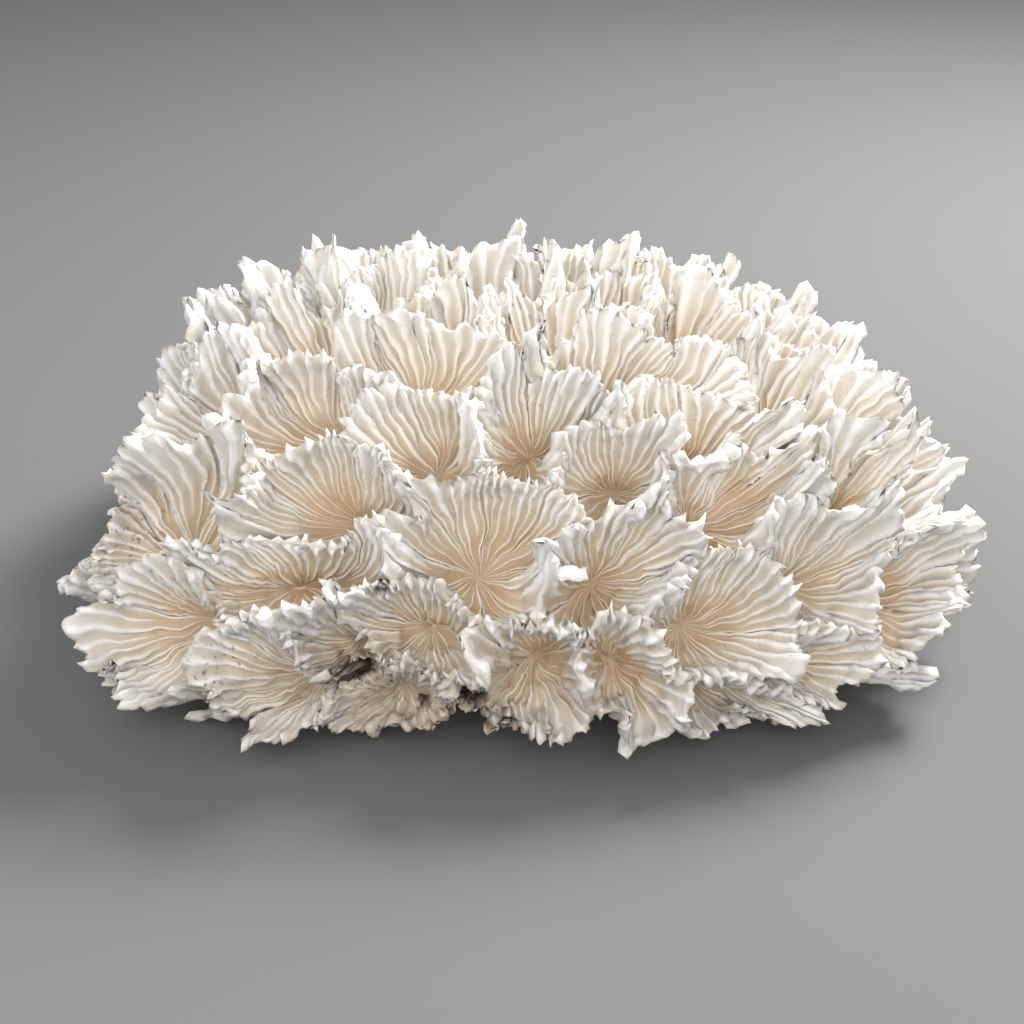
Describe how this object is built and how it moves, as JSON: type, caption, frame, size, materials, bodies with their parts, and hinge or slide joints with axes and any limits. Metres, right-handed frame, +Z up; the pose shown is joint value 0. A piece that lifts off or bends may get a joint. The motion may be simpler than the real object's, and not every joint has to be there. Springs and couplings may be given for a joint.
{
  "type": "coral specimen",
  "caption": "Bleached lettuce coral skeleton, a wide low dome of cups parted by tall thin ruffled walls with ribbed faces, resting on its flat cut foot.",
  "frame": {"origin": "middle of the object's box, on the floor under it", "axes": "+X along the longest side, to the right as seen in the picture, +Y away from the seen side, +Z up"},
  "size_m": [0.3651, 0.308, 0.1536],
  "materials": {
    "coral_skeleton": "chalky bleached skeleton, white at the rims and cream in the cups, fully rough",
    "cut_underside": "eroded and sawn underside, dull grey cream, fully rough"
  },
  "bodies": {
    "root": {"cut_base": "cut_underside", "lobe_front_left": "coral_skeleton", "lobe_left": "coral_skeleton", "lobe_left_crown": "coral_skeleton", "lobe_front": "coral_skeleton", "lobe_centre": "coral_skeleton", "lobe_front_right": "coral_skeleton", "lobe_right": "coral_skeleton", "lobe_right_crown": "coral_skeleton", "lobe_back": "coral_skeleton", "lobe_back_left": "coral_skeleton", "lobe_back_right": "coral_skeleton"}
  },
  "joints": []
}
